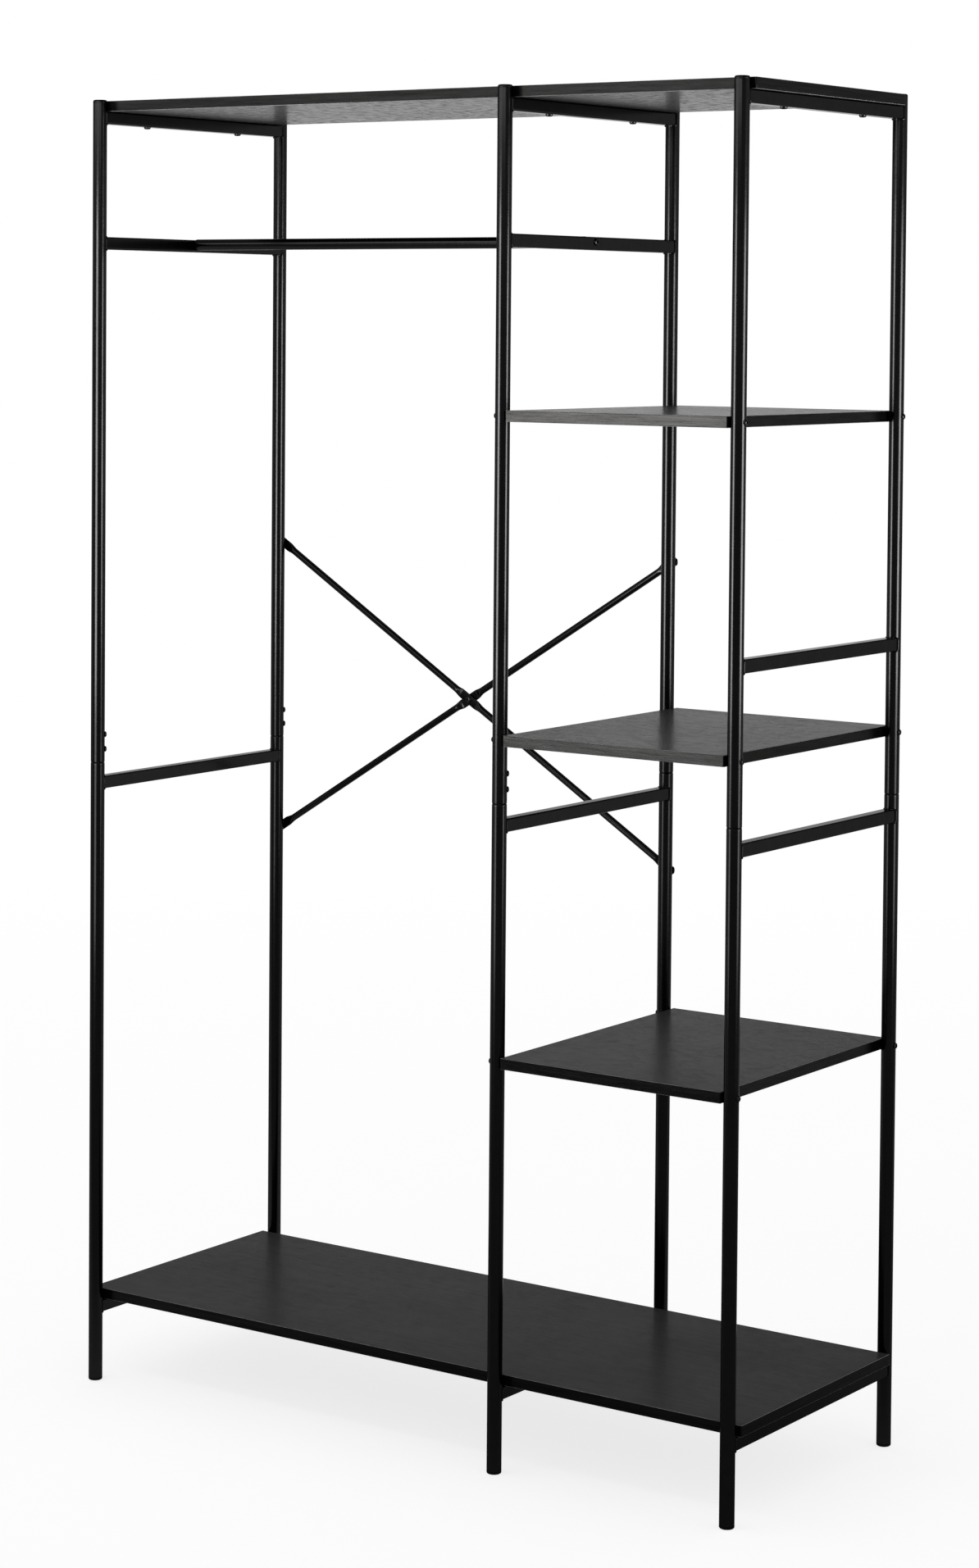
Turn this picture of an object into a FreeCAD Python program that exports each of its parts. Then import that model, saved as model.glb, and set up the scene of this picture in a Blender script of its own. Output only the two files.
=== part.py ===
import FreeCAD, Part
import math
import os

# Open frame wardrobe: three ladder frames of round tube carry a top board, a bottom board,
# a clothes rod and three shelves. Two flattened brace rods cross behind the hanging bay.
# Millimetres, +Z up, +X to the right seen from the front, -Y towards the viewer.
# The origin is on the floor, in the middle of the overall box.

Vector = FreeCAD.Vector

# Overall sizes
height = 1840.0
hanging_bay = 702.0
shelf_bay = 361.0
post_spacing = 412.0
board_overhang = 14.0

# Round posts, each spliced from a lower and an upper tube
post_diameter = 20.0
post_wall = 1.2
post_end_bevel = 0.7
splice_height = 895.0
sleeve_wall = 1.5
sleeve_clearance = 0.15
sleeve_below = 40.0
sleeve_above = 58.0
splice_screw_first = 18.0
splice_screw_pitch = 21.0
splice_screw_length = 9.0

# Plastic feet and caps in the post ends
foot_flange = 4.0
foot_bevel = 1.5
cap_flange = 4.0
cap_bevel = 2.0
plug_stem = 20.0
plug_rib = 2.5
plug_clearance = 0.15

# Rectangular rails welded between the posts
rail_width = 18.0
rail_height = 18.0
rail_wall = 1.2
rail_corner = 2.0
bottom_board_top = 131.0
frame_rail_drop = 21.0
right_rail_rise = 212.0
hanging_rail_drop = 178.5

# Boards and shelves
board_thickness = 15.0
board_post_gap = 1.0
cap_above_board = 1.0
shelf_pitch = 427.5
shelf_end_gap = 0.5
shelf_setback = 0.5

# Clothes rod
rod_diameter = 16.0
rod_above_rail_middle = 2.0
rod_wall = 1.2
rod_plug_length = 22.0
rod_plug_clearance = 0.15
rod_screw_bite = 16.0

# Brace rods, hole to hole from post to post
brace_diameter = 10.0
brace_rise = 436.5
brace_middle_height = 973.0
brace_flat = 3.0
brace_end_width = 15.0
brace_end_run = 15.0
brace_middle_width = 14.0
brace_middle_run = 14.0
brace_taper = 13.0
brace_tip_share = 0.56

# Fasteners, kept to a few flats because there are many of them
head_sides = 8
shank_sides = 6
shank_diameter = 5.0
head_diameter = 8.5
head_height = 2.8
head_crown_share = 0.7
board_head_diameter = 10.0
brace_head_diameter = 12.0
brace_head_height = 4.0
brace_screw_bite = 10.0
hole_clearance = 0.3
thread_clearance = 0.1
board_screw_bite = 11.0
board_screw_shares = (0.25, 0.75)
shelf_screw_bite = 30.0
pilot_allowance = 1.0
bolt_tip = 1.5
nut_sides = 6
nut_flats = 8.0
nut_thickness = 4.0

overrun = 5.0
bevel_limit_share = 0.6

# Worked-out places
post_radius = post_diameter / 2
post_bore = post_radius - post_wall

board_length = hanging_bay + shelf_bay + 2 * board_overhang
left_x = board_overhang - board_length / 2
middle_x = left_x + hanging_bay
right_x = middle_x + shelf_bay

back_stack = 2 * brace_flat + nut_thickness + bolt_tip
overall_depth = post_spacing + post_diameter + back_stack
front_y = post_radius - overall_depth / 2
back_y = front_y + post_spacing
middle_y = (front_y + back_y) / 2
brace_seat_y = back_y + post_radius

top_board_top = height - cap_above_board
top_rail_top = top_board_top - board_thickness
bottom_rail_top = bottom_board_top - board_thickness
frame_rail_top = splice_height - frame_rail_drop
right_rail_top = splice_height + right_rail_rise
hanging_rail_top = top_rail_top - hanging_rail_drop
rod_height = hanging_rail_top - rail_height / 2 + rod_above_rail_middle
board_screw_places = [front_y + post_spacing * share for share in board_screw_shares]
shelf_names = ("lower", "middle", "upper")
shelf_tops = {name: bottom_board_top + shelf_pitch * step for step, name in enumerate(shelf_names, 1)}
brace_heights = (brace_middle_height - brace_rise / 2, brace_middle_height + brace_rise / 2)
splice_screw_heights = (
    splice_height + splice_screw_first,
    splice_height + splice_screw_first + splice_screw_pitch,
)

frames = {"left": left_x, "middle": middle_x, "right": right_x}
rows = {"front": front_y, "back": back_y}
# The splice screws are driven from behind, slantwise from this side of each frame
splice_sides = {"left": 1, "middle": 1, "right": -1}

origin = Vector(0, 0, 0)
along_x = Vector(1, 0, 0)
along_y = Vector(0, 1, 0)
along_z = Vector(0, 0, 1)
full_turn = 360.0
diagonal_share = math.sqrt(1 / 2)


def turned(outline):
    """Revolve a closed outline of (radius, height) corners about Z."""
    points = []
    for radius, level in outline + outline[:1]:
        point = Vector(radius, 0, level)
        if not points or point != points[-1]:
            points.append(point)
    return Part.Face(Part.makePolygon(points)).revolve(origin, along_z, full_turn)


def placed(shape, position, direction):
    """A copy of a shape built on +Z, set at a position and pointing along a direction."""
    copy = shape.copy()
    copy.Placement = FreeCAD.Placement(position, FreeCAD.Rotation(along_z, direction))
    return copy


def drilled(shape, cutters):
    for cutter in cutters:
        shape = shape.cut(cutter)
    return shape


def corners(radius, sides, level=0):
    """The corners of a regular outline about Z whose flats clear a circle of the given radius."""
    reach = radius / math.cos(math.pi / sides)
    angles = [2 * math.pi * step / sides for step in range(sides)]
    return [Vector(reach * math.cos(angle), reach * math.sin(angle), level) for angle in angles]


def flat_face(points):
    return Part.Face(Part.makePolygon(points + points[:1]))


def prism(radius, sides, length):
    return flat_face(corners(radius, sides)).extrude(along_z * length)


def frustum(radius, crown, sides, rise):
    """A solid with flat sides that tapers from one regular outline to a smaller one above it."""
    base = corners(radius, sides)
    top = corners(crown, sides, rise)
    faces = [flat_face(base), flat_face(top)]
    for side in range(sides):
        after = (side + 1) % sides
        faces.append(flat_face([base[side], base[after], top[after], top[side]]))
    return Part.makeSolid(Part.makeShell(faces))


def screw(length, diameter=head_diameter, rise=head_height):
    """A pan-head screw: the head stands on z = 0 and tapers upwards, the shank runs down."""
    radius = diameter / 2
    shank = prism(shank_diameter / 2, shank_sides, length)
    shank.translate(along_z * -length)
    return frustum(radius, radius * head_crown_share, head_sides, rise).fuse(shank)


def hole(position, direction, depth, clearance=hole_clearance):
    """A hole with a clearance all round a screw's shank."""
    return placed(prism(shank_diameter / 2 + clearance, shank_sides, depth), position, direction)


def splice_way(frame):
    """The direction in which the heads of a frame's splice screws point."""
    return Vector(splice_sides[frame] * diagonal_share, diagonal_share, 0)


def through_hole(centre, direction, span):
    """A clearance hole right through a tube of the given span."""
    reach = span / 2 + overrun
    return hole(centre - direction * reach, direction, 2 * reach)


# Posts, sleeves, feet and caps


def post_tube(bottom, top, bevel=0):
    """A tube from bottom to top, with a bevel around its upper outer edge."""
    edge = min(bevel, post_wall * bevel_limit_share)
    outline = [(post_bore, bottom), (post_radius, bottom), (post_radius, top - edge)]
    return turned(outline + [(post_radius - edge, top), (post_bore, top)])


def post_holes(frame, row):
    """Every screw hole of one post, whichever of its pieces the hole falls in."""
    x = frames[frame]
    y = rows[row]
    way = splice_way(frame)
    reach = post_radius + overrun
    holes = [hole(Vector(x, y, level), way, reach) for level in splice_screw_heights]
    if frame != "left":
        for top in shelf_tops.values():
            centre = Vector(x, y, top - board_thickness / 2)
            holes.append(through_hole(centre, along_x, post_diameter))
    if frame != "right" and row == "back":
        for level in brace_heights:
            holes.append(hole(Vector(x, y, level), along_y, reach))
    return holes


def end_plug(flange, bevel):
    """A plug that stands on z = 0: a bevelled flange, and two crossed ribs that go into the tube."""
    edge = min(bevel, flange * bevel_limit_share)
    plug = turned([(0, 0), (post_radius - edge, 0), (post_radius, edge), (post_radius, flange), (0, flange)])
    half_rib = plug_rib / 2
    reach = math.sqrt((post_bore - plug_clearance) ** 2 - half_rib**2)
    for wide, deep in ((reach, half_rib), (half_rib, reach)):
        plug = plug.fuse(Part.makeBox(2 * wide, 2 * deep, plug_stem, Vector(-wide, -deep, flange)))
    return plug.removeSplitter()


def sleeve():
    outer = post_bore - sleeve_clearance
    inner = outer - sleeve_wall
    low = splice_height - sleeve_below
    high = splice_height + sleeve_above
    return turned([(inner, low), (outer, low), (outer, high), (inner, high)])


def build_posts():
    lower = post_tube(foot_flange, splice_height, post_end_bevel)
    upper = post_tube(splice_height, height - cap_flange)
    joint = sleeve()
    foot = end_plug(foot_flange, foot_bevel)
    cap = end_plug(cap_flange, cap_bevel)
    pieces = {}
    groups = {"splice_sleeves": [], "post_feet": [], "post_caps": []}
    for frame, x in frames.items():
        for row, y in rows.items():
            place = Vector(x, y, 0)
            holes = post_holes(frame, row)
            pieces[f"{frame}_{row}_lower_post"] = drilled(placed(lower, place, along_z), holes)
            pieces[f"{frame}_{row}_upper_post"] = drilled(placed(upper, place, along_z), holes)
            groups["splice_sleeves"].append(drilled(placed(joint, place, along_z), holes))
            groups["post_feet"].append(placed(foot, place, along_z))
            groups["post_caps"].append(placed(cap, Vector(x, y, height), -along_z))
    for name, solids in groups.items():
        pieces[name] = Part.makeCompound(solids)
    return pieces


# Rails


def rectangle(width, tall, corner=0):
    """A face in the XZ plane, centred on the origin, with its corners cut off."""
    half = width / 2
    rise = tall / 2
    points = []
    for side, up in ((-1, -1), (1, -1), (1, 1), (-1, 1)):
        ends = [(half, rise - corner), (half - corner, rise)]
        if side != up:
            ends.reverse()
        points += [Vector(side * x, 0, up * z) for x, z in (ends if corner else ends[:1])]
    return flat_face(points)


def rail(x, top, holes=()):
    """A rectangular tube from post to post, its ends saddled to the round posts."""
    corner = min(rail_corner, min(rail_width, rail_height) * bevel_limit_share / 2)
    bore = rectangle(rail_width - 2 * rail_wall, rail_height - 2 * rail_wall)
    bar = rectangle(rail_width, rail_height, corner).cut(bore).extrude(along_y * post_spacing)
    bar.translate(Vector(x, front_y, top - rail_height / 2))
    for y in rows.values():
        saddle = Vector(x, y, top - rail_height - overrun)
        bar = bar.cut(Part.makeCylinder(post_radius, rail_height + 2 * overrun, saddle))
    return drilled(bar, holes)


def board_holes(x, top):
    """The two upright holes of a rail that a board is screwed to from below."""
    level = top - rail_height / 2
    return [through_hole(Vector(x, y, level), along_z, rail_height) for y in board_screw_places]


def build_rails():
    pieces = {}
    for frame, x in frames.items():
        pieces[f"{frame}_bottom_rail"] = rail(x, bottom_rail_top, board_holes(x, bottom_rail_top))
        pieces[f"{frame}_frame_rail"] = rail(x, frame_rail_top)
        pieces[f"{frame}_top_rail"] = rail(x, top_rail_top, board_holes(x, top_rail_top))
    for frame in ("left", "middle"):
        centre = Vector(frames[frame], middle_y, rod_height)
        rod_hole = through_hole(centre, along_x, rail_width)
        pieces[f"{frame}_hanging_rail"] = rail(frames[frame], hanging_rail_top, [rod_hole])
    pieces["right_upper_frame_rail"] = rail(right_x, right_rail_top)
    return pieces


# Boards and shelves


def panel(length, depth, corner):
    return Part.makeBox(length, depth, board_thickness, corner)


def long_board(top):
    """A board on the rails of all three frames, with pilot holes for the screws from below."""
    depth = post_spacing - post_diameter - 2 * board_post_gap
    low = top - board_thickness
    corner = Vector(-board_length / 2, front_y + post_radius + board_post_gap, low)
    reach = board_screw_bite + pilot_allowance
    places = [Vector(x, y, low) for x in frames.values() for y in board_screw_places]
    holes = [hole(place, along_z, reach, thread_clearance) for place in places]
    return drilled(panel(board_length, depth, corner), holes)


def shelf(top):
    """A shelf between the middle and right posts, with pilot holes in its ends."""
    length = shelf_bay - post_diameter - 2 * shelf_end_gap
    depth = post_spacing + post_diameter - 2 * shelf_setback
    low = top - board_thickness
    left_end = middle_x + post_radius + shelf_end_gap
    corner = Vector(left_end, front_y - post_radius + shelf_setback, low)
    reach = shelf_screw_bite + pilot_allowance
    level = top - board_thickness / 2
    holes = []
    for y in rows.values():
        holes.append(hole(Vector(left_end, y, level), along_x, reach, thread_clearance))
        holes.append(hole(Vector(left_end + length, y, level), -along_x, reach, thread_clearance))
    return drilled(panel(length, depth, corner), holes)


def build_boards():
    pieces = {"top_board": long_board(top_board_top), "bottom_board": long_board(bottom_board_top)}
    for name, top in shelf_tops.items():
        pieces[f"{name}_shelf"] = shelf(top)
    return pieces


# Clothes rod


def build_rod():
    start = Vector(left_x + rail_width / 2, middle_y, rod_height)
    length = hanging_bay - rail_width
    end = start + along_x * length
    radius = rod_diameter / 2
    bore = radius - rod_wall
    rod = Part.makeCylinder(radius, length, start, along_x)
    rod = rod.cut(Part.makeCylinder(bore, length, start, along_x))
    plugs = []
    for place, inward in ((start, along_x), (end, -along_x)):
        plug = Part.makeCylinder(bore - rod_plug_clearance, rod_plug_length, place, inward)
        plugs.append(plug.cut(hole(place, inward, rod_plug_length, thread_clearance)))
    fixing = screw(rail_width + rod_screw_bite)
    screws = [
        placed(fixing, start - along_x * rail_width, -along_x),
        placed(fixing, end + along_x * rail_width, along_x),
    ]
    return {
        "clothes_rod": rod,
        "clothes_rod_plugs": Part.makeCompound(plugs),
        "clothes_rod_screws": Part.makeCompound(screws),
    }


# Braces


def flat_section(x, y, width):
    """The outline of a pressed flat, across the rod's axis."""
    near = y - brace_flat / 2
    far = y + brace_flat / 2
    rise = width / 2
    corners = ((near, -rise), (near, rise), (far, rise), (far, -rise), (near, -rise))
    return Part.makePolygon([Vector(x, across, up) for across, up in corners])


def round_section(x, y):
    """The outline of the round rod, split where the flat's outline has its corners."""
    radius = brace_diameter / 2
    corner = radius * diagonal_share
    corners = [(-corner, -corner), (-corner, corner), (corner, corner), (corner, -corner)]
    crowns = [(-radius, 0), (0, radius), (radius, 0), (0, -radius)]
    edges = []
    for index, crown in enumerate(crowns):
        ends = (corners[index], crown, corners[(index + 1) % len(corners)])
        points = [Vector(x, y + across, up) for across, up in ends]
        edges.append(Part.Arc(*points).toShape())
    return Part.Wire(edges)


def end_flat(half_length):
    """The flat at the right end of a brace, with a round tip past its hole."""
    rise = brace_end_width / 2
    tip = brace_end_width * brace_tip_share
    start = half_length - brace_end_run
    shoulder = half_length + math.sqrt(tip**2 - rise**2)
    corners = ((shoulder, -rise), (start, -rise), (start, rise), (shoulder, rise))
    sides = Part.makePolygon([Vector(x, 0, up) for x, up in corners])
    points = ((shoulder, rise), (half_length + tip, 0), (shoulder, -rise))
    nose = Part.Arc(*[Vector(x, 0, up) for x, up in points]).toShape()
    flat = Part.Face(Part.Wire(sides.Edges + [nose])).extrude(along_y * brace_flat)
    return flat.cut(hole(Vector(half_length, -overrun, 0), along_y, brace_flat + 2 * overrun))


def half_brace(half_length, middle_y, axis_y):
    """The right half of a brace: half the middle flat, a taper, the round rod, a taper, the end flat."""
    end_y = brace_flat / 2
    near_taper = brace_middle_run + brace_taper
    far_taper = half_length - brace_end_run - brace_taper
    wires = [
        flat_section(brace_middle_run, middle_y, brace_middle_width),
        round_section(near_taper, axis_y),
        round_section(far_taper, axis_y),
        flat_section(half_length - brace_end_run, end_y, brace_end_width),
    ]
    rod_start = Vector(near_taper, axis_y, 0)
    low = Vector(0, middle_y - brace_flat / 2, -brace_middle_width / 2)
    half = Part.makeBox(brace_middle_run, brace_flat, brace_middle_width, low)
    half = half.fuse(Part.makeLoft(wires[:2], True, True))
    half = half.fuse(Part.makeCylinder(brace_diameter / 2, far_taper - near_taper, rod_start, along_x))
    half = half.fuse(Part.makeLoft(wires[2:], True, True))
    return half.fuse(end_flat(half_length))


def brace(middle_offset, lean):
    """One brace rod: round bar pressed flat at both ends and, set back by an offset, in the middle.

    The end flats lie on the back of the posts. lean is 1 where the rod climbs to the right.
    """
    half_length = math.hypot(hanging_bay, brace_rise) / 2
    middle_y = brace_flat / 2 + middle_offset
    right = half_brace(half_length, middle_y, (brace_flat / 2 + middle_y) / 2)
    left = right.mirror(origin, along_x)
    rod = right.fuse(left).removeSplitter()
    rod = rod.cut(hole(Vector(0, middle_offset - overrun, 0), along_y, brace_flat + 2 * overrun))
    angle = math.degrees(math.atan2(brace_rise, hanging_bay))
    rod.rotate(origin, along_y, -lean * angle)
    rod.translate(Vector((left_x + middle_x) / 2, brace_seat_y, brace_middle_height))
    return rod


def build_braces():
    end_screw = screw(brace_flat + brace_screw_bite, brace_head_diameter, brace_head_height)
    screws = []
    for x in (left_x, middle_x):
        for level in brace_heights:
            screws.append(placed(end_screw, Vector(x, brace_seat_y + brace_flat, level), along_y))
    centre = Vector((left_x + middle_x) / 2, brace_seat_y, brace_middle_height)
    bolt = screw(2 * brace_flat + nut_thickness + bolt_tip)
    nut = prism(nut_flats / 2, nut_sides, nut_thickness)
    nut = nut.cut(hole(origin, along_z, nut_thickness, thread_clearance))
    return {
        "front_brace": brace(0, -1),
        "rear_brace": brace(brace_flat, 1),
        "brace_end_screws": Part.makeCompound(screws),
        "brace_centre_bolt": placed(bolt, centre, -along_y),
        "brace_centre_nut": placed(nut, centre + along_y * (2 * brace_flat), along_y),
    }


# Screws of the frames, shelves and boards


def build_screws():
    splice_screw = screw(splice_screw_length)
    shelf_screw = screw(post_diameter + shelf_end_gap + shelf_screw_bite)
    board_screw = screw(rail_height + board_screw_bite, board_head_diameter)
    splice_screws = []
    shelf_screws = []
    board_screws = {"top": [], "bottom": []}
    for frame, x in frames.items():
        for y in rows.values():
            way = splice_way(frame)
            for level in splice_screw_heights:
                splice_screws.append(placed(splice_screw, Vector(x, y, level) + way * post_radius, way))
            for top in shelf_tops.values():
                level = top - board_thickness / 2
                if frame == "middle":
                    shelf_screws.append(placed(shelf_screw, Vector(x - post_radius, y, level), -along_x))
                if frame == "right":
                    shelf_screws.append(placed(shelf_screw, Vector(x + post_radius, y, level), along_x))
        for y in board_screw_places:
            for name, rail_top in (("top", top_rail_top), ("bottom", bottom_rail_top)):
                seat = Vector(x, y, rail_top - rail_height)
                board_screws[name].append(placed(board_screw, seat, -along_z))
    return {
        "splice_screws": Part.makeCompound(splice_screws),
        "shelf_screws": Part.makeCompound(shelf_screws),
        "top_board_screws": Part.makeCompound(board_screws["top"]),
        "bottom_board_screws": Part.makeCompound(board_screws["bottom"]),
    }


os.makedirs("parts", exist_ok=True)
for build in (build_posts, build_rails, build_boards, build_rod, build_braces, build_screws):
    for name, shape in build().items():
        shape.exportStep(f"parts/{name}.step")
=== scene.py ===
import math

import bmesh
import bpy
from mathutils import Matrix, Vector


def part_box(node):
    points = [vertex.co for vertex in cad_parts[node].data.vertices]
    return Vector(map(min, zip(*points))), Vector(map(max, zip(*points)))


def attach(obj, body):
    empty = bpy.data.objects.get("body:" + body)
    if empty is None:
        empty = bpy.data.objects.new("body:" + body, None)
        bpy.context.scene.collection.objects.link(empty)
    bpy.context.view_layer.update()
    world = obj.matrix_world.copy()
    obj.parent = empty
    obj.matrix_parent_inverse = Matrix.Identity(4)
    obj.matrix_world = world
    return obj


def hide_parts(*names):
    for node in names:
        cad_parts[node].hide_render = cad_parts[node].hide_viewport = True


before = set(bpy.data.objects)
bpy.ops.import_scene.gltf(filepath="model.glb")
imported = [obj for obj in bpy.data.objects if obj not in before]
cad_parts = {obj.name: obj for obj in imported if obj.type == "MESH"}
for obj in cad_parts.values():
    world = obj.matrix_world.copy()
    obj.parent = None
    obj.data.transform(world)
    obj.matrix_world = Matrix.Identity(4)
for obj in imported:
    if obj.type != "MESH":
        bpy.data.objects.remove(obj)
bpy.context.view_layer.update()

# Sizes in metres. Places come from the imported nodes.
MM = 0.001
FRAMES = ("left", "middle", "right")
ROWS = ("front", "back")
SHELVES = ("lower", "middle", "upper")
SEGMENTS = 64
SCREW_SEGMENTS = 48
SHARP_ANGLE = math.radians(38)
# A turned end closes with a small round face, of this share of its radius
CORE_SHARE = 0.25
# From a round edge to the ring that keeps the face beside it flat
HOLD = 0.3 * MM

POST_BORE = 8.8 * MM
SHOULDER_WIDTH = 1.1 * MM
SHOULDER_HEIGHT = 4.0 * MM
FOOT_HEIGHT = 4.0 * MM
FOOT_ROUND = 2.4 * MM
CAP_HEIGHT = 4.0 * MM
CAP_ROUND = 2.6 * MM
SEAM_ROUND = 0.35 * MM

RAIL_CORNER = 2.4 * MM
WELD_RADIUS = 1.7 * MM
# The weld's unevenness: a share of its radius, and how many waves it has around the rail
WELD_WAVES = ((0.14, 5), (0.08, 13))

BOARD_EDGE_ROUND = 0.9 * MM
BOARD_EDGE_SEGMENTS = 3
BOARD_CORNER_ROUND = 1.6 * MM
BOARD_CORNER_SEGMENTS = 6
# How much a board's face looks up or down: a rim from the first share on, a flat face from the second on. The
# rims take a lighter colour, a painted highlight along the rounded edges
RIM_SHARE, FLAT_SHARE = 0.3, 0.9
# A face that looks along an axis to at least this share is shaded flat
PLANE_SHARE = 0.999

ROD_EDGE_ROUND = 0.4 * MM
BRACE_RADIUS = 5.0 * MM
BRACE_FLAT = 3.0 * MM
BRACE_END_RUN = 15.0 * MM
BRACE_MIDDLE_RUN = 14.0 * MM
BRACE_TAPER = 13.0 * MM
BRACE_TIP = 8.4 * MM
BRACE_STEPS = 12

SHANK_RADIUS = 2.4 * MM
HEAD_RADIUS = 4.25 * MM
HEAD_HEIGHT = 2.8 * MM
BOARD_HEAD_RADIUS = 5.0 * MM
BRACE_HEAD_RADIUS = 6.0 * MM
BRACE_HEAD_HEIGHT = 4.0 * MM
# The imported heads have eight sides, and reach past their radius at the corners
BRACE_HEAD_REACH = BRACE_HEAD_RADIUS / math.cos(math.pi / 8)
ROD_HEAD_RADIUS = 5.2 * MM
# How fast a head's dome falls off towards its edge
DOME_FALL = 0.8
FLAT_FALL = 0.4
DOME_STEPS = 8
SOCKET_SHARE = 0.4
SOCKET_RIM_SHARE = 0.14
SOCKET_DEPTH_SHARE = 0.6
SPLICE_SCREW_LENGTH = 9.0 * MM
SHELF_SCREW_LENGTH = 50.0 * MM
BOARD_SCREW_LENGTH = 29.0 * MM
ROD_SCREW_LENGTH = 34.0 * MM
BRACE_SCREW_LENGTH = 13.0 * MM
BRACE_BOLT_LENGTH = 11.5 * MM
SPLICE_SCREW_HEIGHTS = (18.0 * MM, 39.0 * MM)
BOARD_SCREW_SHARES = (0.25, 0.75)

ALONG_X = Vector((1, 0, 0))
ALONG_Y = Vector((0, 1, 0))
ALONG_Z = Vector((0, 0, 1))


def middle_of(node):
    low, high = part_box(node)
    return (low + high) / 2


def size_of(node):
    low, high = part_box(node)
    return high - low


posts = {(f, r): middle_of(f"{f}_{r}_lower_post") for f in FRAMES for r in ROWS}
post_radius = size_of("left_front_lower_post").x / 2
splice_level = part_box("left_front_upper_post")[0].z


# Materials

# A black finish whose gloss stays low right out to its rims
DARK_RIMS = {"Metallic": 1.0, "Specular_Tint": (0.5, 0.5, 0.5, 1)}
EDGE_BAND = {**DARK_RIMS, "Metallic": 0.85, "Specular_IOR_Level": 0.1}
RIM_GLOSS = {"Specular_IOR_Level": 0.2}
# A thin satin film on the boards, which shines at low angles
FACE_FILM = {"Specular_IOR_Level": 0.01, "Coat_Weight": 0.95, "Coat_IOR": 1.034, "Coat_Roughness": 0.2}
UNDER_FILM = {**FACE_FILM, "Coat_IOR": 1.05}

# Darkest and lightest colour of each black finish
COAT_TONES = ((0.0155, 0.0155, 0.0158), (0.0178, 0.0178, 0.0182))
PLASTIC_TONES = ((0.009, 0.009, 0.0092), (0.014, 0.014, 0.0142))
ZINC_TONES = ((0.02, 0.02, 0.021), (0.034, 0.034, 0.036))
PEEL_DEPTH = 0.1 * MM
SKIN_DEPTH = 0.08 * MM
ZINC_DEPTH = 0.05 * MM

# The boards' wood grain: waves per metre along it and across it
GRAIN_WAVES = (4.5, 130.0)
FIGURE_WAVES = (60.0, 170.0)
SWELL_WAVES = (72.0, 80.0)
# Where the streaks' noise turns darker and lighter, and by what share of the tone
STREAK_SHARES = ((0.34, -0.3), (0.5, 0.0), (0.68, 0.35))
WARM_SHARES = (1.0, 0.985, 0.965)
# The range of noise over which a pore, a figure mark or a swell fades out
PORES = (0.36, 0.48)
FIGURE = (0.37, 0.47)
SWELL = (0.39, 0.45)
# What a pore takes of the colour and leaves of the sheen, and what the other marks take of the sheen
PORE_SHADE_SHARE = 0.45
PORE_SHEEN_SHARE = 0.4
FIGURE_SHARE = 0.75
SWELL_SHARE = 0.58
DULL_SPREAD = 0.04
PORE_DEPTH = 0.15 * MM
STREAK_DEPTH = 0.2 * MM
FIGURE_DEPTH = 0.08 * MM
# The Mix node's colour sockets, which share their names with its other sockets
MIX_A, MIX_B, MIX_RESULT = 6, 7, 2


def add_node(tree, kind, inputs=None, **settings):
    """A shader node with its settings; an input is linked where a socket is given, and set otherwise."""
    node = tree.nodes.new(kind)
    for name, value in settings.items():
        setattr(node, name, value)
    for name, value in (inputs or {}).items():
        if isinstance(value, bpy.types.NodeSocket):
            tree.links.new(value, node.inputs[name])
        else:
            node.inputs[name].default_value = value
    return node


def new_material(name, **values):
    """A material with constant values set on its shader; returns its tree and the shader too."""
    material = bpy.data.materials.new(name)
    material.use_nodes = True
    tree = material.node_tree
    shader = tree.nodes["Principled BSDF"]
    for socket, value in values.items():
        shader.inputs[socket.replace("_", " ")].default_value = value
    return material, tree, shader


def place_coords(tree, stretch=(1, 1, 1)):
    """Coordinates in metres in the row frame, stretched along each axis."""
    coords = add_node(tree, "ShaderNodeTexCoord")
    inputs = {"Vector": coords.outputs["Object"], "Scale": stretch}
    return add_node(tree, "ShaderNodeMapping", inputs).outputs["Vector"]


def noise(tree, coords, scale, detail=3.0, roughness=0.5):
    inputs = {"Vector": coords, "Scale": scale, "Detail": detail, "Roughness": roughness}
    return add_node(tree, "ShaderNodeTexNoise", inputs).outputs["Fac"]


def ramp(tree, factor, stops):
    """A colour ramp with grey or coloured stops of (position, colour)."""
    node = add_node(tree, "ShaderNodeValToRGB", {"Fac": factor})
    elements = node.color_ramp.elements
    stops = list(stops)
    while len(elements) < len(stops):
        elements.new(0.5)
    for element, (position, colour) in zip(elements, stops):
        element.position = position
        element.color = (*colour, 1)
    return node.outputs["Color"]


def spread(tree, factor, low, high, start=0.3, end=0.7):
    """Map a factor from the range of start and end onto the range of low and high."""
    inputs = {"Value": factor, "From Min": start, "From Max": end, "To Min": low, "To Max": high}
    return add_node(tree, "ShaderNodeMapRange", inputs).outputs["Result"]


def bump(tree, height, strength, distance, normal=None):
    inputs = {"Height": height, "Strength": strength, "Distance": distance}
    if normal:
        inputs["Normal"] = normal
    return add_node(tree, "ShaderNodeBump", inputs).outputs["Normal"]


def powder_coat():
    """Satin black powder coat: a fine orange peel, patches of gloss and a little dust."""
    material, tree, shader = new_material("black_powder_coat", **DARK_RIMS)
    coords = place_coords(tree)
    patches = noise(tree, coords, scale=9.0, detail=4.0)
    peel = noise(tree, coords, scale=1400.0, detail=2.0)
    dust = noise(tree, coords, scale=90.0, detail=3.0, roughness=0.6)
    colour = ramp(tree, dust, zip((0.3, 0.7), COAT_TONES))
    tree.links.new(colour, shader.inputs["Base Color"])
    tree.links.new(spread(tree, patches, low=0.16, high=0.21), shader.inputs["Roughness"])
    tree.links.new(bump(tree, peel, strength=0.012, distance=PEEL_DEPTH), shader.inputs["Normal"])
    return material


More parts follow.
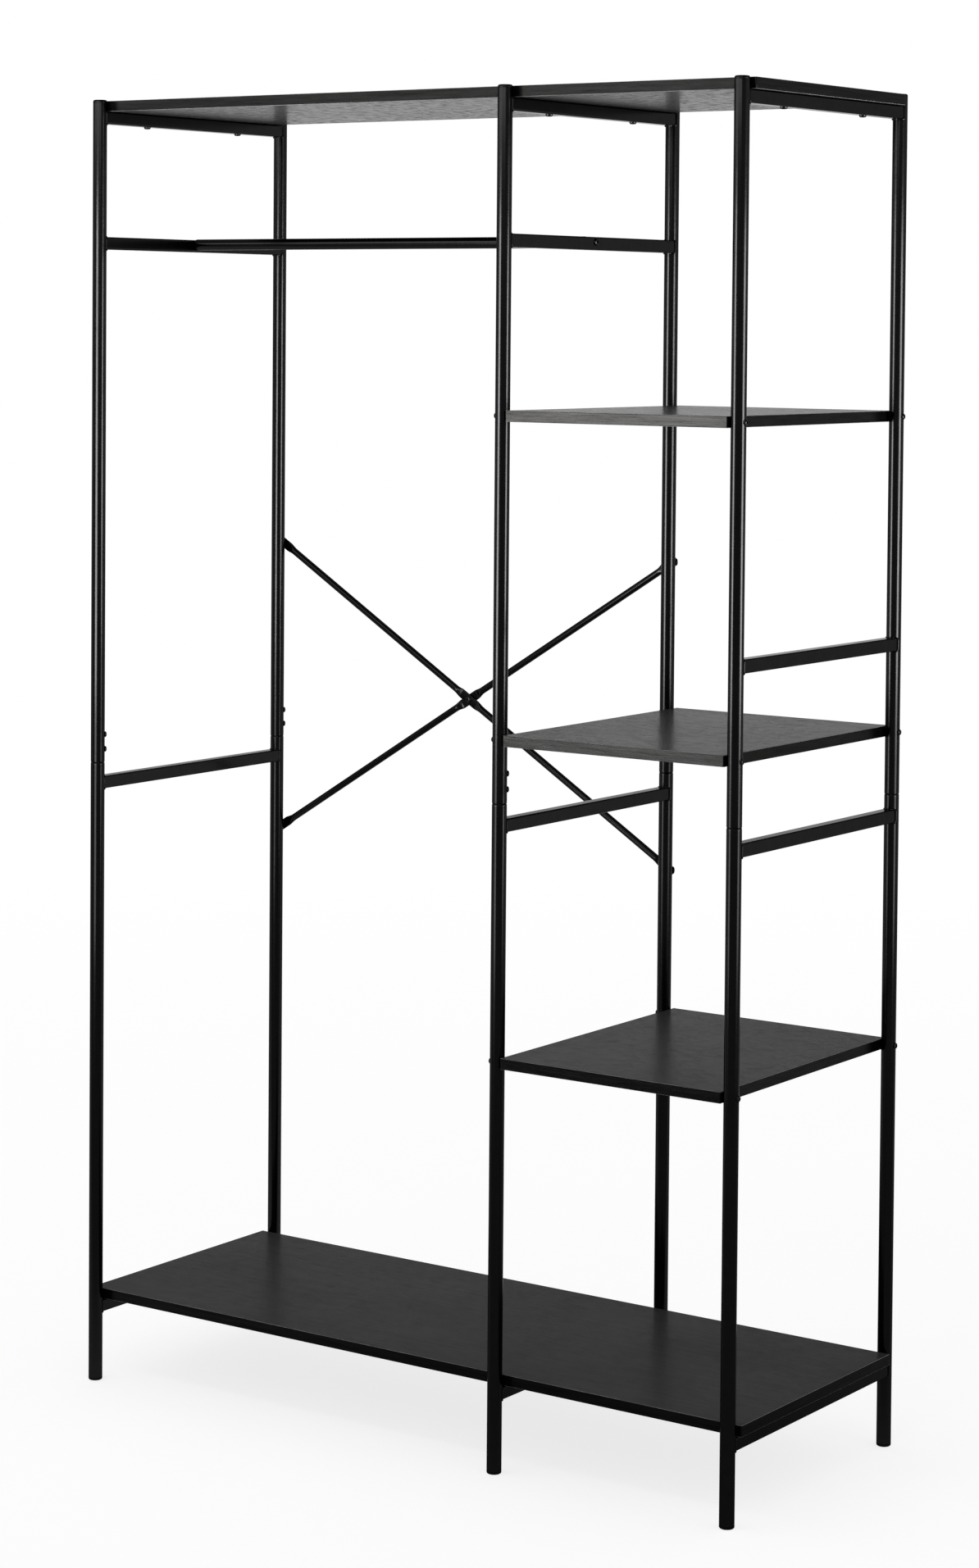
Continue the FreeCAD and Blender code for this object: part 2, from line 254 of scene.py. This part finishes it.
def moulded_plastic():
    """Black plastic with a fine spark-eroded skin."""
    material, tree, shader = new_material("black_plastic", **DARK_RIMS)
    coords = place_coords(tree)
    skin = noise(tree, coords, scale=2600.0, detail=3.0)
    tone = noise(tree, coords, scale=70.0, detail=3.0)
    colour = ramp(tree, tone, zip((0.3, 0.7), PLASTIC_TONES))
    tree.links.new(colour, shader.inputs["Base Color"])
    tree.links.new(spread(tree, skin, low=0.3, high=0.4), shader.inputs["Roughness"])
    tree.links.new(bump(tree, skin, strength=0.2, distance=SKIN_DEPTH), shader.inputs["Normal"])
    return material


def black_zinc():
    """Black zinc on the screws, lighter and duller in fine grains."""
    material, tree, shader = new_material("black_zinc", **DARK_RIMS)
    coords = place_coords(tree)
    grains = noise(tree, coords, scale=900.0, detail=4.0)
    colour = ramp(tree, grains, zip((0.3, 0.75), ZINC_TONES))
    tree.links.new(colour, shader.inputs["Base Color"])
    tree.links.new(spread(tree, grains, low=0.2, high=0.32), shader.inputs["Roughness"])
    tree.links.new(bump(tree, grains, strength=0.1, distance=ZINC_DEPTH), shader.inputs["Normal"])
    return material


def grain_coords(tree, grain_axis, waves):
    """Coordinates with a number of waves per metre along the grain and another across it."""
    along, across = waves
    return place_coords(tree, [along if axis == grain_axis else across for axis in "XYZ"])


def board_finish(name, grain_axis, tone, dull, contrast, gloss):
    """Charcoal laminate with a pressed wood grain along an axis: fine pores and streaks in a broad figure."""
    material, tree, shader = new_material(name, **gloss)
    coords = grain_coords(tree, grain_axis, GRAIN_WAVES)
    streaks = noise(tree, coords, scale=2.2, detail=6.0, roughness=0.62)
    pores = noise(tree, coords, scale=7.0, detail=4.0, roughness=0.65)
    figure = noise(tree, grain_coords(tree, grain_axis, FIGURE_WAVES), scale=1.0, roughness=0.6)
    swell = noise(tree, grain_coords(tree, grain_axis, SWELL_WAVES), scale=1.0, detail=2.0)
    clouds = noise(tree, place_coords(tree), scale=6.0)

    levels = [(place, tone * (1 + share * contrast)) for place, share in STREAK_SHARES]
    grain = ramp(tree, streaks, [(place, [level * warm for warm in WARM_SHARES]) for place, level in levels])
    shade = ramp(tree, pores, zip(PORES, ([1 - PORE_SHADE_SHARE * contrast] * 3, (1, 1, 1))))
    mixed = add_node(tree, "ShaderNodeMix", data_type="RGBA", blend_type="MULTIPLY")
    mixed.inputs["Factor"].default_value = 1.0
    tree.links.new(grain, mixed.inputs[MIX_A])
    tree.links.new(shade, mixed.inputs[MIX_B])
    tree.links.new(mixed.outputs[MIX_RESULT], shader.inputs["Base Color"])
    tree.links.new(spread(tree, clouds, dull - DULL_SPREAD, dull + DULL_SPREAD), shader.inputs["Roughness"])

    film = shader.inputs["Coat Weight"]
    full = film.default_value
    if full:
        sheen = spread(tree, pores, full * PORE_SHEEN_SHARE, full, *PORES)
        for mark, depth, fade in ((figure, FIGURE_SHARE, FIGURE), (swell, SWELL_SHARE, SWELL)):
            inputs = {0: sheen, 1: spread(tree, mark, 1 - depth * contrast, 1.0, *fade)}
            sheen = add_node(tree, "ShaderNodeMath", inputs, operation="MULTIPLY").outputs[0]
        tree.links.new(sheen, film)

    relief = bump(tree, pores, strength=0.7, distance=PORE_DEPTH)
    relief = bump(tree, streaks, strength=0.1, distance=STREAK_DEPTH, normal=relief)
    relief = bump(tree, figure, strength=contrast, distance=FIGURE_DEPTH, normal=relief)
    tree.links.new(relief, shader.inputs["Normal"])
    tree.links.new(relief, shader.inputs["Coat Normal"])
    return material


coat = powder_coat()
plastic = moulded_plastic()
zinc = black_zinc()
board_face = board_finish("board_grain", "X", tone=0.032, dull=0.45, contrast=0.45, gloss=FACE_FILM)
board_under = board_finish("board_underside", "X", tone=0.032, dull=0.45, contrast=1.2, gloss=UNDER_FILM)
board_edge = board_finish("board_edge_band", "X", tone=0.011, dull=0.22, contrast=0.8, gloss=EDGE_BAND)
board_end = board_finish("board_end_band", "Y", tone=0.011, dull=0.22, contrast=0.8, gloss=EDGE_BAND)
# The rims' much lighter tone is a painted highlight: light lines along the boards' rounded edges
board_rim_painted_highlight = board_finish("board_rim_painted_highlight", "X", tone=0.2, dull=0.4, contrast=1.0, gloss=RIM_GLOSS)


# Mesh building


def add_rings(mesh, rings, loop=False):
    """Skin a row of rings of equal length; a loop joins the last to the first, and other ends are closed."""
    rows = [[mesh.verts.new(point) for point in ring] for ring in rings]
    pairs = list(zip(rows, rows[1:]))
    if loop:
        pairs.append((rows[-1], rows[0]))
    for here, after in pairs:
        for index in range(len(here)):
            beyond = (index + 1) % len(here)
            mesh.faces.new((here[index], here[beyond], after[beyond], after[index]))
    if not loop:
        mesh.faces.new(rows[0])
        mesh.faces.new(rows[-1])


def circle(radius, level, segments=SEGMENTS):
    angles = [2 * math.pi * step / segments for step in range(segments)]
    return [Vector((radius * math.cos(a), radius * math.sin(a), level)) for a in angles]


def arc(centre_radius, centre_level, radius, start, end, steps):
    """Outline points of (radius, height) along a round edge, by angle in degrees."""
    angles = [math.radians(start + (end - start) * step / steps) for step in range(steps + 1)]
    return [(centre_radius + radius * math.cos(a), centre_level + radius * math.sin(a)) for a in angles]


def add_turned(mesh, outline, place, loop=False):
    """Turn an outline of (radius, height) about Z and set it in its place."""
    rings = [[place @ point for point in circle(r, level)] for r, level in outline]
    add_rings(mesh, rings, loop)


def facing(position, direction):
    """A place for a piece built on +Z that points along a direction."""
    turn = ALONG_Z.rotation_difference(direction).to_matrix().to_4x4()
    return Matrix.Translation(position) @ turn


def finish_piece(name, mesh, material, nodes):
    """Make the object, shade it, and let it stand for its CAD nodes."""
    bmesh.ops.recalc_face_normals(mesh, faces=mesh.faces)
    data = bpy.data.meshes.new(name)
    mesh.to_mesh(data)
    mesh.free()
    data.materials.append(material)
    data.shade_smooth()
    data.set_sharp_from_angle(angle=SHARP_ANGLE)
    piece = bpy.data.objects.new(name, data)
    bpy.context.scene.collection.objects.link(piece)
    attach(piece, "root")
    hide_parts(*nodes)
    return piece


# Posts, feet and caps


def tube_edge(level, way, width, height, steps=6):
    """Outline points of (radius, height) from a tube's side round to its end; way is 1 at its top."""
    points = [(post_radius, level - way * (height + HOLD))]
    for step in range(steps + 1):
        angle = math.pi / 2 * step / steps
        inset = width * (1 - math.cos(angle))
        drop = height * (1 - math.sin(angle))
        points.append((post_radius - inset, level - way * drop))
    return points


def tube_outline(bottom, top, bottom_edge, top_edge):
    """The wall of a tube from bottom to top; each outer edge is rounded over a width and a height."""
    outline = [(POST_BORE, bottom), *tube_edge(bottom, -1, *bottom_edge)[::-1]]
    return [*outline, *tube_edge(top, 1, *top_edge), (POST_BORE, top)]


def plug_outline(height, edge_round):
    """A round end plug on z = 0 with a rounded free edge and a fine seam at the tube."""
    outline = [(post_radius * CORE_SHARE, 0)]
    outline += arc(post_radius - edge_round, edge_round, edge_round, start=-90, end=0, steps=8)
    outline += arc(post_radius - SEAM_ROUND, height - SEAM_ROUND, SEAM_ROUND, start=0, end=90, steps=3)
    return outline + [(POST_BORE, height)]


def build_posts():
    seam = (SEAM_ROUND, SEAM_ROUND)
    shoulder = (SHOULDER_WIDTH, SHOULDER_HEIGHT)
    for (side, row), centre in posts.items():
        place = Matrix.Translation((centre.x, centre.y, 0))
        for part, edges in (("lower", (seam, shoulder)), ("upper", (seam, seam))):
            node = f"{side}_{row}_{part}_post"
            low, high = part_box(node)
            mesh = bmesh.new()
            add_turned(mesh, tube_outline(low.z, high.z, *edges), place, loop=True)
            finish_piece(f"{node}_tube", mesh, coat, [node])


def build_plugs():
    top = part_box("post_caps")[1].z
    feet, caps = bmesh.new(), bmesh.new()
    for centre in posts.values():
        foot_place = Matrix.Translation((centre.x, centre.y, 0))
        cap_place = facing(Vector((centre.x, centre.y, top)), -ALONG_Z)
        add_turned(feet, plug_outline(FOOT_HEIGHT, FOOT_ROUND), foot_place)
        add_turned(caps, plug_outline(CAP_HEIGHT, CAP_ROUND), cap_place)
    finish_piece("feet", feet, plastic, ["post_feet"])
    finish_piece("caps", caps, plastic, ["post_caps"])


# Rails


def rounded_section(width, height, corner, steps=5):
    """Outline points of (x, z) of a rounded rectangle, with the outward direction at each point."""
    points = []
    for quarter, (side, up) in enumerate(((1, 1), (-1, 1), (-1, -1), (1, -1))):
        centre = Vector((side * (width / 2 - corner), up * (height / 2 - corner)))
        for step in range(-1, steps + 2):
            angle = math.pi / 2 * (quarter + min(max(step, 0), steps) / steps)
            outward = Vector((math.cos(angle), math.sin(angle)))
            ahead = Vector((-outward.y, outward.x)) * HOLD * ((step > steps) - (step < 0))
            points.append((centre + corner * outward + ahead, outward))
    return points


def saddle(x):
    """How far the round post's surface lies from its axis plane at a sideways distance x."""
    return math.sqrt(max(post_radius**2 - x**2, 0))


def build_rail(node):
    middle = middle_of(node)
    size = size_of(node)
    side = node.split("_")[0]
    carries_board = node.endswith(("bottom_rail", "top_rail"))
    front = posts[side, "front"].y
    back = posts[side, "back"].y
    section = rounded_section(size.x, size.z, RAIL_CORNER)
    ends = []
    for y, inward in ((front, 1), (back, -1)):
        ends.append([Vector((middle.x + p.x, y + inward * saddle(p.x), middle.z + p.y)) for p, _ in section])
    mesh = bmesh.new()
    add_rings(mesh, ends)
    for end in ends:
        add_weld(mesh, end, section, middle.z + size.z / 2 if carries_board else math.inf)
    finish_piece(f"{node}_tube", mesh, coat, [node])


def add_weld(mesh, end, section, ceiling, sides=10):
    """A weld bead around the end of a rail, uneven along its run and no higher than a ceiling."""
    rings = []
    for point, (spot, outward) in zip(end, section):
        turn = math.atan2(spot.y, spot.x)
        swell = 1 + sum(share * math.sin(waves * turn) for share, waves in WELD_WAVES)
        across = Vector((outward.x, 0, outward.y))
        ring = []
        for step in range(sides):
            angle = 2 * math.pi * step / sides
            shift = across * math.cos(angle) + ALONG_Y * math.sin(angle)
            bead = point + shift * WELD_RADIUS * swell
            ring.append(Vector((bead.x, bead.y, min(bead.z, ceiling))))
        rings.append(ring)
    add_rings(mesh, rings, loop=True)


def build_rails():
    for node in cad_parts:
        if node.endswith("_rail"):
            build_rail(node)


# Boards and shelves


def round_edges(mesh, edges, radius, segments):
    bmesh.ops.bevel(mesh, geom=edges, offset=radius, segments=segments, profile=0.5, affect="EDGES")


def finish_by_side(normal):
    """The finish of a board's face, by the way that it looks; the rounded rims get a lighter colour, a
    painted highlight, and end bands have the grain along the band.
    """
    if abs(normal.z) > FLAT_SHARE:
        return board_face if normal.z > 0 else board_under
    if abs(normal.z) > RIM_SHARE:
        return board_rim_painted_highlight
    return board_edge if abs(normal.y) > abs(normal.x) else board_end


def build_board(node):
    """A board with softened edges, bands along them, and painted highlight lines, in a lighter colour, on the
    rounded rims where the bands end.
    """
    low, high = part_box(node)
    mesh = bmesh.new()
    place = Matrix.Translation((low + high) / 2) @ Matrix.Diagonal((*(high - low), 1))
    bmesh.ops.create_cube(mesh, size=1, matrix=place)
    upright = [edge for edge in mesh.edges if edge.verts[0].co.z != edge.verts[1].co.z]
    round_edges(mesh, upright, BOARD_CORNER_ROUND, BOARD_CORNER_SEGMENTS)
    rims = [edge for edge in mesh.edges if edge.verts[0].co.z == edge.verts[1].co.z]
    round_edges(mesh, rims, BOARD_EDGE_ROUND, BOARD_EDGE_SEGMENTS)
    piece = finish_piece(f"{node}_panel", mesh, board_face, [node])
    finishes = [board_face, board_edge, board_end, board_rim_painted_highlight, board_under]
    for material in finishes[1:]:
        piece.data.materials.append(material)
    for polygon in piece.data.polygons:
        polygon.use_smooth = max(map(abs, polygon.normal)) < PLANE_SHARE
        polygon.material_index = finishes.index(finish_by_side(polygon.normal))


def build_boards():
    for node in ("top_board", "bottom_board", *(f"{name}_shelf" for name in SHELVES)):
        build_board(node)


# Clothes rod


def build_rod():
    low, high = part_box("clothes_rod")
    radius = (high.z - low.z) / 2
    length = high.x - low.x
    middle = (low + high) / 2
    inner = radius - ROD_EDGE_ROUND
    outline = [(radius * CORE_SHARE, 0)]
    outline += arc(inner, ROD_EDGE_ROUND, ROD_EDGE_ROUND, start=-90, end=0, steps=3)
    outline += [(radius, ROD_EDGE_ROUND + HOLD), (radius, length - ROD_EDGE_ROUND - HOLD)]
    outline += arc(inner, length - ROD_EDGE_ROUND, ROD_EDGE_ROUND, start=0, end=90, steps=3)
    outline.append((radius * CORE_SHARE, length))
    mesh = bmesh.new()
    add_turned(mesh, outline, facing(Vector((low.x, middle.y, middle.z)), ALONG_X))
    finish_piece("clothes_rod_tube", mesh, coat, ["clothes_rod"])


# Braces


def pressed_section(half_thickness, half_width, steps=10):
    """Outline of a pressed tube: two flats joined by round edges, as (across, up) points."""
    flat = max(half_width - half_thickness, 0)
    points = []
    for step in range(2 * steps):
        angle = math.pi * (step + 0.5) / (2 * steps)
        points.append((half_thickness * math.cos(angle), flat + half_thickness * math.sin(angle)))
    points += [(-across, -up) for across, up in points]
    return points


def pressed_width(half_thickness):
    """Half the width of the tube where it is pressed to a thickness, with its girth kept."""
    return half_thickness + math.pi / 2 * (BRACE_RADIUS - half_thickness)


def brace_stations(half_length, end_depth, rod_depth, middle_depth):
    """Stations of one half brace from its middle: (along, depth, half thickness, half width)."""
    pressed = BRACE_FLAT / 2
    wide = pressed_width(pressed)
    stations = [(0, middle_depth, pressed, wide), (BRACE_MIDDLE_RUN, middle_depth, pressed, wide)]
    tapers = [(BRACE_MIDDLE_RUN, 1, middle_depth), (half_length - BRACE_END_RUN, -1, end_depth)]
    for start, way, flat_depth in tapers:
        taper = []
        for step in range(1, BRACE_STEPS + 1):
            share = step / BRACE_STEPS
            eased = share * share * (3 - 2 * share)
            thick = pressed + (BRACE_RADIUS - pressed) * eased
            depth = flat_depth + (rod_depth - flat_depth) * eased
            taper.append((start + way * BRACE_TAPER * share, depth, thick, pressed_width(thick)))
        taper.append((start + way * (BRACE_TAPER + HOLD), rod_depth, BRACE_RADIUS, BRACE_RADIUS))
        stations += taper if way > 0 else taper[::-1]
    stations.append((half_length - BRACE_END_RUN, end_depth, pressed, wide))
    for step in range(BRACE_STEPS + 1):
        # The round tip stops just short of a point
        angle = math.pi / 2 * (step + 0.25) / (BRACE_STEPS + 0.5)
        tip_width = BRACE_TIP * math.cos(angle)
        stations.append((half_length + BRACE_TIP * math.sin(angle), end_depth, pressed, min(wide, tip_width)))
    return stations


def build_brace(node, lean, middle_shift):
    """One brace rod across the back; lean is 1 where it climbs to the right."""
    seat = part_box("left_back_lower_post")[1].y
    ends = [posts["left", "back"], posts["middle", "back"]]
    bay = ends[1].x - ends[0].x
    screws_low, screws_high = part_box("brace_end_screws")
    rise = screws_high.z - screws_low.z - 2 * BRACE_HEAD_REACH
    half_length = math.hypot(bay, rise) / 2
    end_depth = BRACE_FLAT / 2
    middle_depth = end_depth + middle_shift
    half = brace_stations(half_length, end_depth, (end_depth + middle_depth) / 2, middle_depth)
    stations = [(-along, *rest) for along, *rest in half[:0:-1]] + half
    centre = Vector(((ends[0].x + ends[1].x) / 2, seat, (screws_low.z + screws_high.z) / 2))
    place = Matrix.Translation(centre) @ Matrix.Rotation(-lean * math.atan2(rise, bay), 4, "Y")
    rings = []
    for along, depth, thick, wide in stations:
        outline = pressed_section(thick, max(wide, thick))
        rings.append([place @ Vector((along, depth + across, up)) for across, up in outline])
    mesh = bmesh.new()
    add_rings(mesh, rings)
    finish_piece(f"{node}_rod", mesh, coat, [node])


# Screws


def add_screw(mesh, position, direction, length, radius=HEAD_RADIUS, height=HEAD_HEIGHT, fall=DOME_FALL):
    """A button-head screw that stands on its seat, with a hexagon socket; a small fall keeps it flat."""
    place = facing(position, direction)
    core = SHANK_RADIUS * CORE_SHARE
    outline = [(core, -length), (SHANK_RADIUS, -length), (SHANK_RADIUS, 0), (radius, 0)]
    for step in range(1, DOME_STEPS):
        angle = math.pi / 2 * step / DOME_STEPS
        outline.append((radius * math.cos(angle) ** fall, height * math.sin(angle)))
        if outline[-1][0] < radius * (SOCKET_SHARE + SOCKET_RIM_SHARE):
            break
    crown = outline[-1][1]
    rings = [circle(r, level, SCREW_SEGMENTS) for r, level in outline]
    socket = []
    for point in circle(1, 0, SCREW_SEGMENTS):
        angle = math.atan2(point.y, point.x) % (math.pi / 3) - math.pi / 6
        socket.append(point * radius * SOCKET_SHARE / math.cos(angle))
    rings.append([point + ALONG_Z * crown for point in socket])
    rings.append([point + ALONG_Z * crown * (1 - SOCKET_DEPTH_SHARE) for point in socket])
    add_rings(mesh, [[place @ point for point in ring] for ring in rings])


def build_splice_screws():
    mesh = bmesh.new()
    for (side, _), centre in posts.items():
        way = (ALONG_Y - ALONG_X if side == "right" else ALONG_Y + ALONG_X).normalized()
        for rise in SPLICE_SCREW_HEIGHTS:
            seat = Vector((centre.x, centre.y, splice_level + rise)) + way * post_radius
            add_screw(mesh, seat, way, SPLICE_SCREW_LENGTH)
    finish_piece("splice_screw_heads", mesh, zinc, ["splice_screws"])


def build_shelf_screws():
    mesh = bmesh.new()
    for (side, _), centre in posts.items():
        if side == "left":
            continue
        way = ALONG_X if side == "right" else -ALONG_X
        for name in SHELVES:
            level = middle_of(f"{name}_shelf").z
            seat = Vector((centre.x, centre.y, level)) + way * post_radius
            add_screw(mesh, seat, way, SHELF_SCREW_LENGTH)
    finish_piece("shelf_screw_heads", mesh, zinc, ["shelf_screws"])


def build_board_screws():
    for board in ("top", "bottom"):
        mesh = bmesh.new()
        for side in FRAMES:
            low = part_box(f"{side}_{board}_rail")[0].z
            front, back = posts[side, "front"], posts[side, "back"]
            for share in BOARD_SCREW_SHARES:
                place = front.lerp(back, share)
                seat = Vector((place.x, place.y, low))
                add_screw(mesh, seat, -ALONG_Z, BOARD_SCREW_LENGTH, BOARD_HEAD_RADIUS, fall=FLAT_FALL)
        finish_piece(f"{board}_board_screw_heads", mesh, zinc, [f"{board}_board_screws"])


def build_rod_screws():
    mesh = bmesh.new()
    for side, way in (("left", -ALONG_X), ("middle", ALONG_X)):
        rail = f"{side}_hanging_rail"
        place = Vector((middle_of(rail).x, *middle_of("clothes_rod").yz))
        add_screw(mesh, place + way * size_of(rail).x / 2, way, ROD_SCREW_LENGTH, ROD_HEAD_RADIUS)
    finish_piece("rod_screw_heads", mesh, zinc, ["clothes_rod_screws"])


def build_brace_screws():
    low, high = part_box("brace_end_screws")
    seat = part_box("left_back_lower_post")[1].y + BRACE_FLAT
    mesh = bmesh.new()
    for side in ("left", "middle"):
        for level in (low.z + BRACE_HEAD_REACH, high.z - BRACE_HEAD_REACH):
            position = Vector((posts[side, "back"].x, seat, level))
            add_screw(mesh, position, ALONG_Y, BRACE_SCREW_LENGTH, BRACE_HEAD_RADIUS, BRACE_HEAD_HEIGHT)
    finish_piece("brace_end_screw_heads", mesh, zinc, ["brace_end_screws"])
    bolt = middle_of("brace_centre_bolt")
    mesh = bmesh.new()
    position = Vector((bolt.x, seat - BRACE_FLAT, bolt.z))
    add_screw(mesh, position, -ALONG_Y, BRACE_BOLT_LENGTH, ROD_HEAD_RADIUS)
    finish_piece("brace_bolt_head", mesh, zinc, ["brace_centre_bolt"])


def dress_hidden_nodes():
    """The CAD solids that stay as they are get the finish of their kind."""
    finishes = {"splice_sleeves": coat, "clothes_rod_plugs": plastic, "brace_centre_nut": zinc}
    for node, material in finishes.items():
        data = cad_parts[node].data
        data.materials.clear()
        data.materials.append(material)


# Floor, light and camera

FLOOR_SIZE = 80.0
FLOOR_COLOUR = (0.8, 0.8, 0.8, 1)
WHITE = (1, 1, 1, 1)
# The white floor: a paper that takes the shadow, and a glow that grows between two distances
PAPER_SHARE = 0.3
GLOW = (0.78, 0.82)
GLOW_REACH = (1.0, 5.0)
FILL_STRENGTH = 0.6
# How far the studio dims in reflections, and where: towards the viewer's side, in metres on the floor and
# by direction on the backdrop, and by height
VIEWER_SIDE = (0.57, -0.82, 0)
DIM_FLOOR, FLOOR_FADE = 0.28, (-0.5, 0.4)
DIM_SIDE, SIDE_FADE = 0.4, (-0.2, 0.6)
DIM_TOP, TOP_FADE = 0.4, (0.05, 0.45)
# A louvre shuts between two downward slopes of the light, and leaks a share
LOUVRE = (-0.075, -0.045)
LOUVRE_LEAK_SHARE = 0.04
# Where the softboxes stand and what they look at
LEFT_STAND, LEFT_AIM = (-0.42, -1.40), (-0.1, 0)
RIGHT_STAND, RIGHT_AIM = (1.95, 0.13), (0.2, 0)
TOP_STAND, TOP_AIM = (-0.3, -1.1, 2.07), (-0.3, 0, 1.95)
# Those at the sides: name, stand, aim, level of the middle, width and height in metres, and power in watts
SIDE_SOFTBOXES = (
    ("left_softbox", LEFT_STAND, LEFT_AIM, 1.29, 0.65, 0.86, 36),
    ("left_low_softbox", LEFT_STAND, LEFT_AIM, 0.63, 0.65, 0.4, 4.3),
    ("right_softbox", RIGHT_STAND, RIGHT_AIM, 1.28, 0.7, 0.8, 37),
    ("right_low_softbox", RIGHT_STAND, RIGHT_AIM, 0.66, 0.7, 0.4, 5),
)


def white_for_camera(tree, plain, white):
    """Show white to the camera and to reflections, and the plain shader to all other light."""
    path = add_node(tree, "ShaderNodeLightPath")
    seen = path.outputs["Is Camera Ray"]
    for kind in ("Is Glossy Ray", "Is Transmission Ray"):
        inputs = {0: seen, 1: path.outputs[kind]}
        seen = add_node(tree, "ShaderNodeMath", inputs, operation="MAXIMUM").outputs[0]
    mix = add_node(tree, "ShaderNodeMixShader", {"Fac": seen})
    tree.links.new(plain.outputs[0], mix.inputs[1])
    tree.links.new(white.outputs[0], mix.inputs[2])
    return mix.outputs[0]


def studio_level(tree, way, dim, fade, rise=None):
    """Full white to the camera; reflections fade towards the viewer's side, and upwards over a rise."""
    inputs = {0: way, 1: VIEWER_SIDE}
    side = add_node(tree, "ShaderNodeVectorMath", inputs, operation="DOT_PRODUCT").outputs["Value"]
    level = spread(tree, side, 1.0, dim, *fade)
    if rise:
        up = add_node(tree, "ShaderNodeSeparateXYZ", {"Vector": way}).outputs["Z"]
        inputs = {0: level, 1: spread(tree, up, 1.0, DIM_TOP, *rise)}
        level = add_node(tree, "ShaderNodeMath", inputs, operation="MULTIPLY").outputs[0]
    inputs = {0: level, 1: add_node(tree, "ShaderNodeLightPath").outputs["Is Camera Ray"]}
    return add_node(tree, "ShaderNodeMath", inputs, operation="MAXIMUM").outputs[0]


def build_floor():
    bpy.ops.mesh.primitive_plane_add(size=FLOOR_SIZE)
    floor = bpy.context.object
    floor.name = "floor"
    material = bpy.data.materials.new("pale_floor")
    material.use_nodes = True
    tree = material.node_tree
    tree.nodes.remove(tree.nodes["Principled BSDF"])
    plain = add_node(tree, "ShaderNodeBsdfDiffuse", {"Color": FLOOR_COLOUR})
    place = add_node(tree, "ShaderNodeNewGeometry").outputs["Position"]
    away = add_node(tree, "ShaderNodeVectorMath", {0: place}, operation="LENGTH").outputs["Value"]
    level = studio_level(tree, place, DIM_FLOOR, FLOOR_FADE)
    tone = add_node(tree, "ShaderNodeMath", {0: level, 1: PAPER_SHARE}, operation="MULTIPLY").outputs[0]
    paper = add_node(tree, "ShaderNodeBsdfDiffuse", {"Color": tone})
    inputs = {0: spread(tree, away, *GLOW, *GLOW_REACH), 1: level}
    glow = add_node(tree, "ShaderNodeMath", inputs, operation="MULTIPLY").outputs[0]
    glow = add_node(tree, "ShaderNodeEmission", {"Strength": glow})
    white = add_node(tree, "ShaderNodeAddShader", {0: paper.outputs[0], 1: glow.outputs[0]})
    tree.links.new(white_for_camera(tree, plain, white), tree.nodes["Material Output"].inputs["Surface"])
    floor.data.materials.append(material)


def build_world():
    """A white backdrop in a studio that is dimmer overhead and on the viewer's side."""
    world = bpy.data.worlds.new("studio")
    bpy.context.scene.world = world
    world.use_nodes = True
    tree = world.node_tree
    way = add_node(tree, "ShaderNodeTexCoord").outputs["Generated"]
    fill = add_node(tree, "ShaderNodeBackground", {"Color": WHITE, "Strength": FILL_STRENGTH})
    level = studio_level(tree, way, DIM_SIDE, SIDE_FADE, TOP_FADE)
    white = add_node(tree, "ShaderNodeBackground", {"Color": WHITE, "Strength": level})
    tree.links.new(white_for_camera(tree, fill, white), tree.nodes["World Output"].inputs["Surface"])


def add_softbox(name, place, aim, width, height, power, louvred=True):
    """A soft light that the camera doesn't see; a louvre keeps it off faces that look up."""
    light = bpy.data.lights.new(name, "AREA")
    light.shape = "RECTANGLE"
    light.size, light.size_y = width, height
    light.energy = power
    box = bpy.data.objects.new(name, light)
    box.location = place
    box.rotation_euler = (Vector(aim) - box.location).to_track_quat("-Z", "Y").to_euler()
    box.visible_camera = False
    bpy.context.scene.collection.objects.link(box)
    if louvred:
        light.use_nodes = True
        tree = light.node_tree
        way = add_node(tree, "ShaderNodeNewGeometry").outputs["Incoming"]
        rise = add_node(tree, "ShaderNodeSeparateXYZ", {"Vector": way}).outputs["Z"]
        strength = spread(tree, rise, LOUVRE_LEAK_SHARE, 1.0, *LOUVRE)
        tree.links.new(strength, tree.nodes["Emission"].inputs["Strength"])


def build_lights():
    for name, stand, aim, level, width, height, power in SIDE_SOFTBOXES:
        add_softbox(name, (*stand, level), (*aim, level), width, height, power)
    add_softbox("top_softbox", TOP_STAND, TOP_AIM, width=2.6, height=0.45, power=11, louvred=False)


# The photograph's camera: where it stands, how it is turned, and its lens in the photograph's pixels
PHOTO_SIZE = (1194, 1913)
CAMERA_PLACE = (2.8283, -4.0286, 1.5326)
CAMERA_AZIMUTH = 35.057
CAMERA_PITCH = -2.259
CAMERA_ROLL = 0.462
FOCAL_PIXELS = 4320.0
AXIS_ROW = 560.0
SENSOR = 36.0


def build_camera():
    data = bpy.data.cameras.new("camera")
    data.sensor_width = SENSOR
    data.lens = FOCAL_PIXELS / PHOTO_SIZE[1] * SENSOR
    data.shift_y = (AXIS_ROW - PHOTO_SIZE[1] / 2) / PHOTO_SIZE[1]
    camera = bpy.data.objects.new("camera", data)
    turn = Matrix.Rotation(math.radians(CAMERA_AZIMUTH), 4, "Z")
    turn = turn @ Matrix.Rotation(math.radians(90 + CAMERA_PITCH), 4, "X")
    turn = turn @ Matrix.Rotation(math.radians(CAMERA_ROLL), 4, "Z")
    camera.matrix_world = Matrix.Translation(CAMERA_PLACE) @ turn
    bpy.context.scene.collection.objects.link(camera)
    bpy.context.scene.camera = camera


build_posts()
build_plugs()
build_rails()
build_boards()
build_rod()
build_brace("front_brace", -1, 0)
build_brace("rear_brace", 1, BRACE_FLAT)
build_splice_screws()
build_shelf_screws()
build_board_screws()
build_rod_screws()
build_brace_screws()
dress_hidden_nodes()
build_floor()
build_world()
build_lights()
build_camera()
bpy.context.scene.view_settings.view_transform = "Standard"
